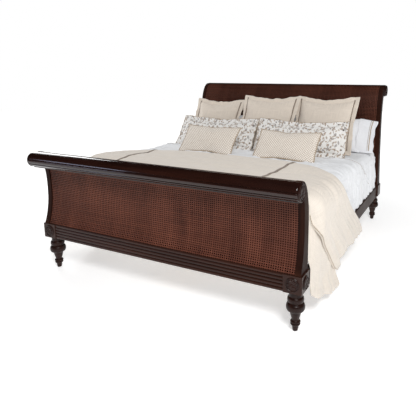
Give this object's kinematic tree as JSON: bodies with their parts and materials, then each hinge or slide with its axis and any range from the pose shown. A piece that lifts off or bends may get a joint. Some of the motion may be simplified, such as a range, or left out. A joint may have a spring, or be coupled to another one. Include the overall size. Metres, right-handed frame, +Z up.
{
  "type": "sleigh bed",
  "caption": "Dark wood sleigh bed with woven cane head and foot panels, rolled top rails, turned legs, side rails and made-up bedding with pillows.",
  "frame": {"origin": "on the floor, midway between the four legs, at the centre of the bed's footprint", "axes": "+X across the bed to the right as seen from the foot, +Y from the foot towards the headboard, +Z up"},
  "size_m": [2.23, 2.591, 1.39],
  "materials": {
    "dark_wood": "polished dark espresso-brown mahogany stain, gloss lacquer",
    "cane": "square open-weave cane, dark reddish-brown stain, satin",
    "steel": "zinc-grey coated steel",
    "slat_wood": "unfinished softwood",
    "ticking": "white quilted ticking",
    "white_linen": "smooth white cotton",
    "cream_linen": "cream slubbed linen",
    "beige_linen": "beige linen with brown embroidered trim",
    "leaf_print": "off-white cotton with a taupe leaf print",
    "lattice_weave": "beige diamond lattice weave with a corded edge"
  },
  "bodies": {
    "bed": {"foot_post_left": "dark_wood", "foot_post_right": "dark_wood", "foot_block_left": "dark_wood", "foot_block_right": "dark_wood", "foot_leg_left": "dark_wood", "foot_leg_right": "dark_wood", "foot_roll": "dark_wood", "foot_bead": "dark_wood", "foot_crest_rail": "dark_wood", "foot_back_panel": "dark_wood", "foot_reeded_rail": "dark_wood", "foot_roll_rosette_left": "dark_wood", "foot_roll_rosette_right": "dark_wood", "foot_block_rosette_left": "dark_wood", "foot_block_rosette_right": "dark_wood", "foot_side_rosette_left": "dark_wood", "foot_side_rosette_right": "dark_wood", "head_post_left": "dark_wood", "head_post_right": "dark_wood", "head_block_left": "dark_wood", "head_block_right": "dark_wood", "head_leg_left": "dark_wood", "head_leg_right": "dark_wood", "head_roll": "dark_wood", "head_crest_rail": "dark_wood", "head_back_panel": "dark_wood", "head_lower_rail": "dark_wood", "head_roll_rosette_left": "dark_wood", "head_roll_rosette_right": "dark_wood", "side_rail_left": "dark_wood", "side_rail_right": "dark_wood", "centre_leg_foot": "dark_wood", "centre_leg_head": "dark_wood", "foot_cane_panel": "cane", "head_cane_panel": "cane", "foot_rail_bracket_left": "steel", "foot_rail_bracket_right": "steel", "head_rail_bracket_left": "steel", "head_rail_bracket_right": "steel", "slat_cleat_left": "slat_wood", "slat_cleat_right": "slat_wood", "slat_1": "slat_wood", "slat_2": "slat_wood", "slat_3": "slat_wood", "slat_4": "slat_wood", "centre_beam": "slat_wood", "box_spring": "ticking", "mattress": "ticking", "fitted_sheet": "white_linen", "quilt": "white_linen", "duvet": "cream_linen"},
    "white_pillow_left_body": {"white_pillow_left": "white_linen"},
    "white_pillow_right_body": {"white_pillow_right": "white_linen"},
    "euro_sham_left_body": {"euro_sham_left": "beige_linen"},
    "euro_sham_middle_body": {"euro_sham_middle": "beige_linen"},
    "euro_sham_right_body": {"euro_sham_right": "beige_linen"},
    "floral_sham_left_body": {"floral_sham_left": "leaf_print"},
    "floral_sham_right_body": {"floral_sham_right": "leaf_print"},
    "lumbar_pillow_left_body": {"lumbar_pillow_left": "lattice_weave"},
    "lumbar_pillow_right_body": {"lumbar_pillow_right": "lattice_weave"}
  },
  "joints": [
    {"name": "white_pillow_left_pull", "type": "slide", "parent": "bed", "child": "white_pillow_left_body", "axis": [-1, 0, 0], "range_m": [0, 0.6]},
    {"name": "white_pillow_right_pull", "type": "slide", "parent": "bed", "child": "white_pillow_right_body", "axis": [1, 0, 0], "range_m": [0, 0.6]},
    {"name": "euro_sham_left_lift", "type": "slide", "parent": "bed", "child": "euro_sham_left_body", "axis": [0, 0.5, 0.866], "range_m": [0, 0.6]},
    {"name": "euro_sham_middle_lift", "type": "slide", "parent": "bed", "child": "euro_sham_middle_body", "axis": [0, 0.5, 0.866], "range_m": [0, 0.6]},
    {"name": "euro_sham_right_lift", "type": "slide", "parent": "bed", "child": "euro_sham_right_body", "axis": [0, 0.5, 0.866], "range_m": [0, 0.6]},
    {"name": "floral_sham_left_lift", "type": "slide", "parent": "bed", "child": "floral_sham_left_body", "axis": [0, 0.5, 0.866], "range_m": [0, 0.45]},
    {"name": "floral_sham_right_lift", "type": "slide", "parent": "bed", "child": "floral_sham_right_body", "axis": [0, 0.5, 0.866], "range_m": [0, 0.45]},
    {"name": "lumbar_pillow_left_lift", "type": "slide", "parent": "bed", "child": "lumbar_pillow_left_body", "axis": [0, 0, 1], "range_m": [0, 0.4]},
    {"name": "lumbar_pillow_right_lift", "type": "slide", "parent": "bed", "child": "lumbar_pillow_right_body", "axis": [0, 0, 1], "range_m": [0, 0.4]}
  ]
}
